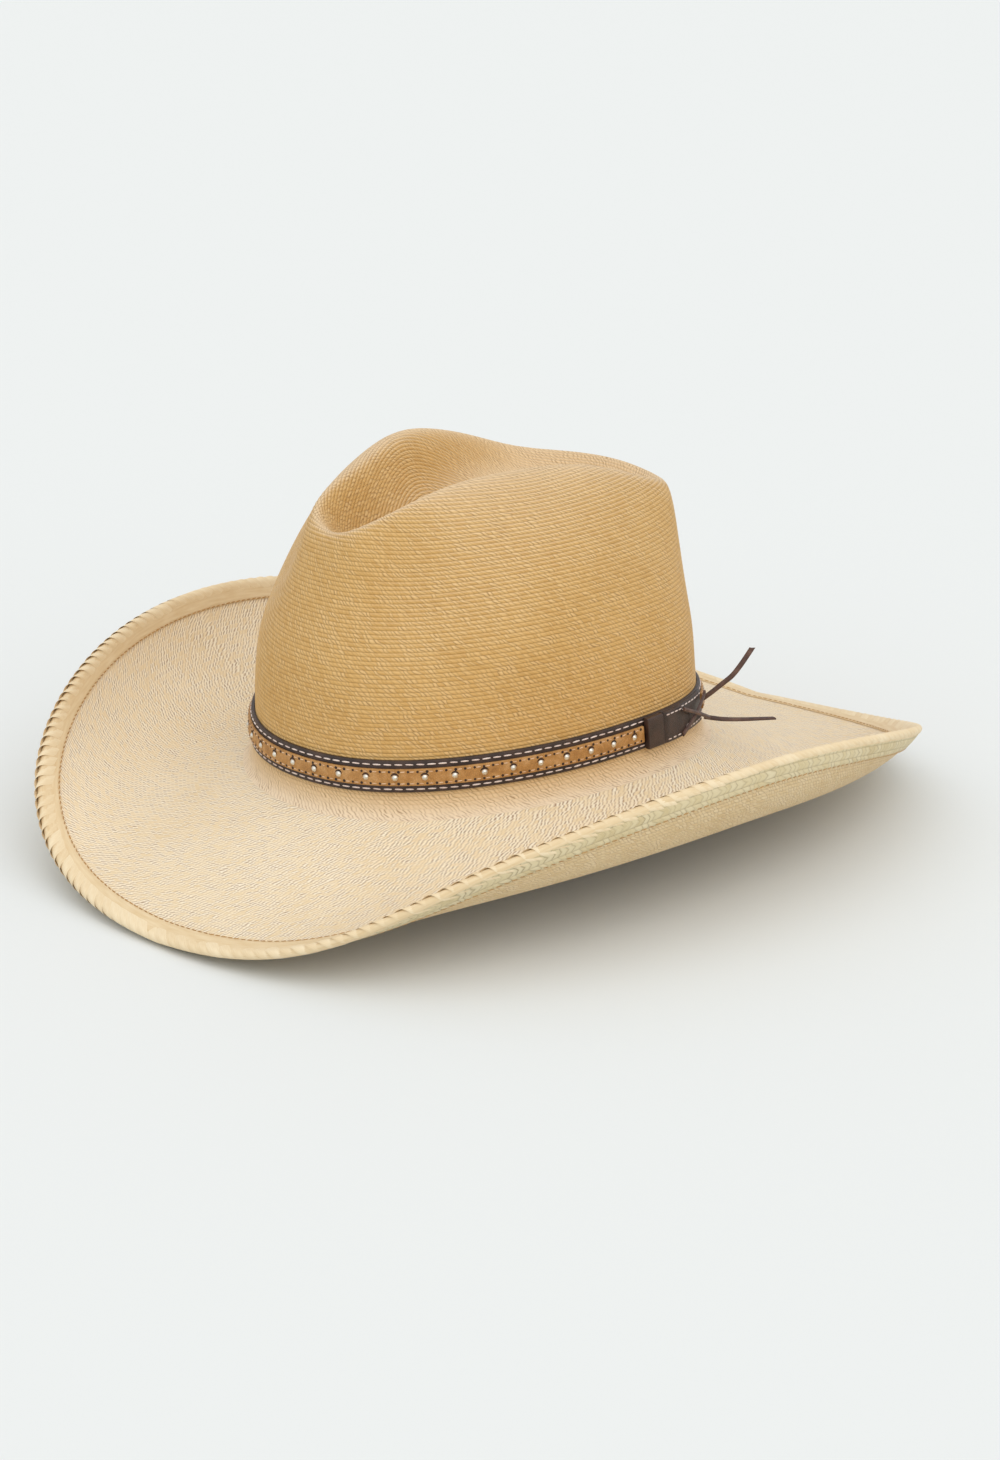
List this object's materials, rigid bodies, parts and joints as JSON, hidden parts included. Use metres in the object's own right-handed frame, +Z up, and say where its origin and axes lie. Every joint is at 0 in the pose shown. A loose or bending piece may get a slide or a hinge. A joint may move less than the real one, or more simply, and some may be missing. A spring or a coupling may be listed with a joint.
{
  "type": "western straw hat",
  "caption": "Western straw hat with a pinched teardrop crown, a brim rolled up at the sides and a studded leather band that lifts off the crown.",
  "frame": {"origin": "on the table under the middle of the hat, which stands on the front and back of its brim", "axes": "+Z up, +X to the wearer's left, -Y the way the wearer faces"},
  "size_m": [0.3544, 0.3912, 0.169],
  "materials": {
    "palm_plait": "sewn palm plait, dry and slightly glossy",
    "palm_whip": "whipped palm plait",
    "spring_wire": "drawn wire",
    "sweat_leather": "smooth lining leather",
    "sewn_tape": "woven cotton tape",
    "dark_leather": "dark brown, semi gloss",
    "keeper_leather": "smooth dark brown, satin",
    "tan_leather": "tooled and punched tan",
    "stud_metal": "nickel plated",
    "lace_leather": "flat lace, matt"
  },
  "bodies": {
    "hat": {"brim": "palm_plait", "brim_edge_plait": "palm_whip", "brim_edge_wire": "spring_wire", "crown_shell": "palm_plait", "sweatband": "sweat_leather", "sweatband_tape": "sewn_tape"},
    "band": {"band_backing": "dark_leather", "band_inlay": "tan_leather", "band_stud_01": "stud_metal", "band_stud_02": "stud_metal", "band_stud_03": "stud_metal", "band_stud_04": "stud_metal", "band_stud_05": "stud_metal", "band_stud_06": "stud_metal", "band_stud_07": "stud_metal", "band_stud_08": "stud_metal", "band_stud_09": "stud_metal", "band_stud_10": "stud_metal", "band_stud_11": "stud_metal", "band_stud_12": "stud_metal", "band_stud_13": "stud_metal", "band_stud_14": "stud_metal", "band_stud_15": "stud_metal", "band_stud_16": "stud_metal", "band_stud_17": "stud_metal", "band_stud_18": "stud_metal", "band_stud_19": "stud_metal", "band_stud_20": "stud_metal", "band_stud_21": "stud_metal", "band_stud_22": "stud_metal", "band_stud_23": "stud_metal", "band_stud_24": "stud_metal", "band_stud_25": "stud_metal", "band_stud_26": "stud_metal", "band_stud_27": "stud_metal", "band_stud_28": "stud_metal", "band_stud_29": "stud_metal", "band_stud_30": "stud_metal", "band_stud_31": "stud_metal", "band_stud_32": "stud_metal", "band_stud_33": "stud_metal", "band_stud_34": "stud_metal", "band_stud_35": "stud_metal", "band_stud_36": "stud_metal", "band_stud_37": "stud_metal", "band_stud_38": "stud_metal", "band_stud_39": "stud_metal", "band_stud_40": "stud_metal", "band_stud_41": "stud_metal", "band_stud_42": "stud_metal", "band_stud_43": "stud_metal", "band_stud_44": "stud_metal", "band_stud_45": "stud_metal", "lace_cross_over": "lace_leather", "lace_cross_under": "lace_leather", "lace_tail_lower": "lace_leather", "lace_tail_upper": "lace_leather", "strap_end": "dark_leather", "strap_keeper": "keeper_leather", "strap_tip": "dark_leather"}
  },
  "joints": [
    {"name": "band_lift_off", "type": "slide", "parent": "hat", "child": "band", "axis": [0, 0, 1], "range_m": [0, 0.13]}
  ]
}
